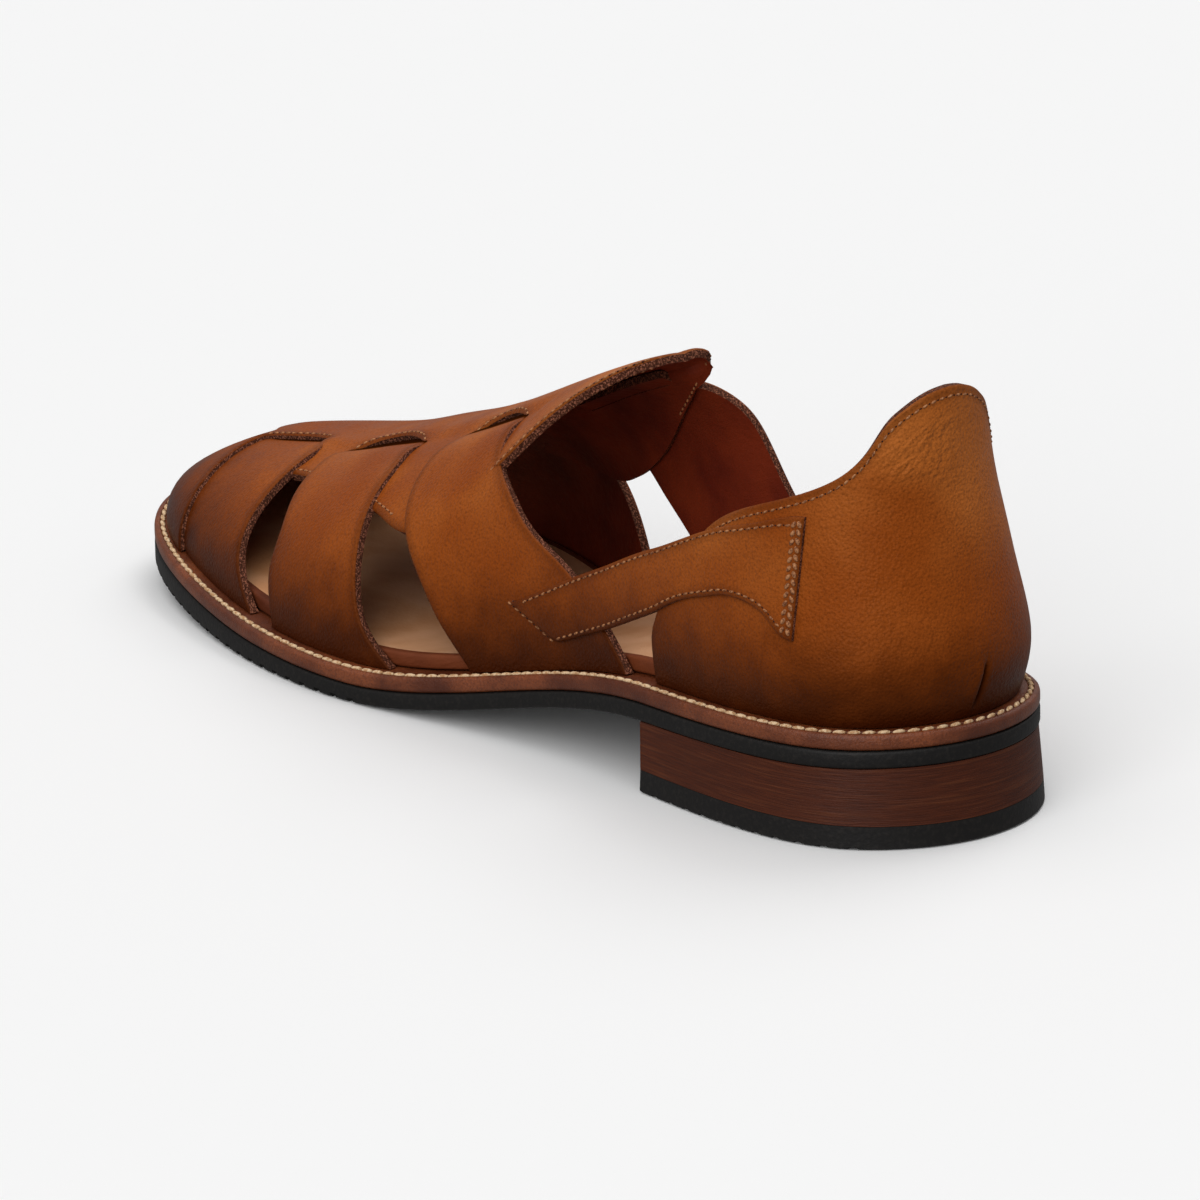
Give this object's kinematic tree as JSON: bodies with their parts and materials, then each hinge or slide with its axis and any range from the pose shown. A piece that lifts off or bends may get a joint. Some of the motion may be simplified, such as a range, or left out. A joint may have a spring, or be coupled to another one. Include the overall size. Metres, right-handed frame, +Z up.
{
  "type": "fisherman sandal",
  "caption": "Closed-toe leather fisherman sandal with woven straps, a stitched heel counter with side bars, a welted leather midsole, a rubber outsole and a low stacked heel.",
  "frame": {"origin": "on the ground below the middle of the shoe's box", "axes": "+X towards the toe, +Y towards the outer side of the foot, +Z up"},
  "size_m": [0.301, 0.1009, 0.1041],
  "materials": {
    "cognac_leather": "burnished",
    "brown_sole_leather": "waxed",
    "natural_leather": "smooth",
    "stacked_leather": "sanded",
    "black_rubber": "matte"
  },
  "bodies": {
    "root": {"upper": "cognac_leather", "footbed": "natural_leather", "midsole": "brown_sole_leather", "outsole": "black_rubber", "heel_stack": "stacked_leather", "top_lift": "black_rubber"}
  },
  "joints": []
}
